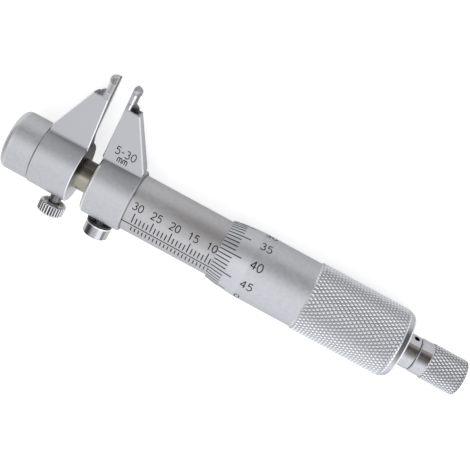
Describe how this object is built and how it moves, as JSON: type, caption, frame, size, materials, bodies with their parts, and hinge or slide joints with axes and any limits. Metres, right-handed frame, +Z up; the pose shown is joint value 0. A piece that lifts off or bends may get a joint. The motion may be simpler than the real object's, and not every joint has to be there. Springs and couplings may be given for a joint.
{
  "type": "inside micrometer",
  "caption": "Inside micrometer with two tapering jaws and round-backed tips, a graduated sleeve, a knurled thimble and a ratchet stop, lying on its side.",
  "frame": {"origin": "centre of the part's box on the surface that it lies on", "axes": "+X along the tool from the jaws to the ratchet, +Z up, jaws towards +Y"},
  "size_m": [0.1246, 0.0388, 0.0181],
  "materials": {
    "satin_chrome": "satin",
    "polished_steel": "polished",
    "black_washer": "gloss",
    "brass": "turned"
  },
  "bodies": {
    "frame": {"fixed_jaw": "satin_chrome", "guide_tube": "polished_steel", "sleeve": "satin_chrome", "adjusting_nut": "polished_steel", "guide_key": "polished_steel", "key_screw": "polished_steel"},
    "slider": {"moving_jaw": "satin_chrome", "end_cap": "satin_chrome", "spindle_rod": "polished_steel", "thrust_ball": "polished_steel", "coupling_collar": "polished_steel"},
    "barrel": {"thimble": "satin_chrome", "measuring_screw": "polished_steel", "ratchet_body": "polished_steel", "ratchet_spring": "polished_steel", "ratchet_screw": "polished_steel"},
    "click_ring": {"ratchet_ring": "polished_steel"},
    "knob": {"ratchet_knob": "satin_chrome"},
    "clamp_plug": {"clamp_pad": "brass", "clamp_washer": "black_washer"},
    "clamp": {"clamp_screw": "polished_steel"},
    "thumb_plug": {"thumb_pad": "brass"},
    "thumb": {"thumb_screw": "polished_steel"}
  },
  "joints": [
    {"name": "jaw_travel", "type": "slide", "parent": "frame", "child": "slider", "axis": [-1, 0, 0], "range_m": [-0.00346, 0.02154]},
    {"name": "thimble_turn", "type": "hinge", "parent": "slider", "child": "barrel", "pos_m": [0.04543, -0.00602, 0.00918], "axis": [-1, 0, 0], "range_deg": [-2491.3, 15508.9]},
    {"name": "ring_click", "type": "slide", "parent": "barrel", "child": "click_ring", "axis": [1, 0, 0], "range_m": [0, 0.00035]},
    {"name": "ratchet_turn", "type": "hinge", "parent": "barrel", "child": "knob", "pos_m": [0.05543, -0.00602, 0.00918], "axis": [-1, 0, 0], "continuous": true},
    {"name": "clamp_press", "type": "slide", "parent": "frame", "child": "clamp_plug", "axis": [0, 0.9609, -0.2768], "range_m": [-0.0005, 0.00028]},
    {"name": "clamp_turn", "type": "hinge", "parent": "clamp_plug", "child": "clamp", "pos_m": [-0.03425, -0.01563, 0.01195], "axis": [0, 0.9609, -0.2768], "range_deg": [-360.1, 201.7]},
    {"name": "thumb_press", "type": "slide", "parent": "slider", "child": "thumb_plug", "axis": [0, 0.9609, -0.2768], "range_m": [-0.0005, 0.00028]},
    {"name": "thumb_turn", "type": "hinge", "parent": "thumb_plug", "child": "thumb", "pos_m": [-0.0468, -0.01563, 0.01195], "axis": [0, 0.9609, -0.2768], "range_deg": [-360.1, 201.7]}
  ],
  "couplings": [
    {"joint": "thimble_turn", "follows": "jaw_travel", "rad_per_m": 12566},
    {"joint": "clamp_turn", "follows": "clamp_press", "rad_per_m": 12566},
    {"joint": "thumb_turn", "follows": "thumb_press", "rad_per_m": 12566}
  ]
}
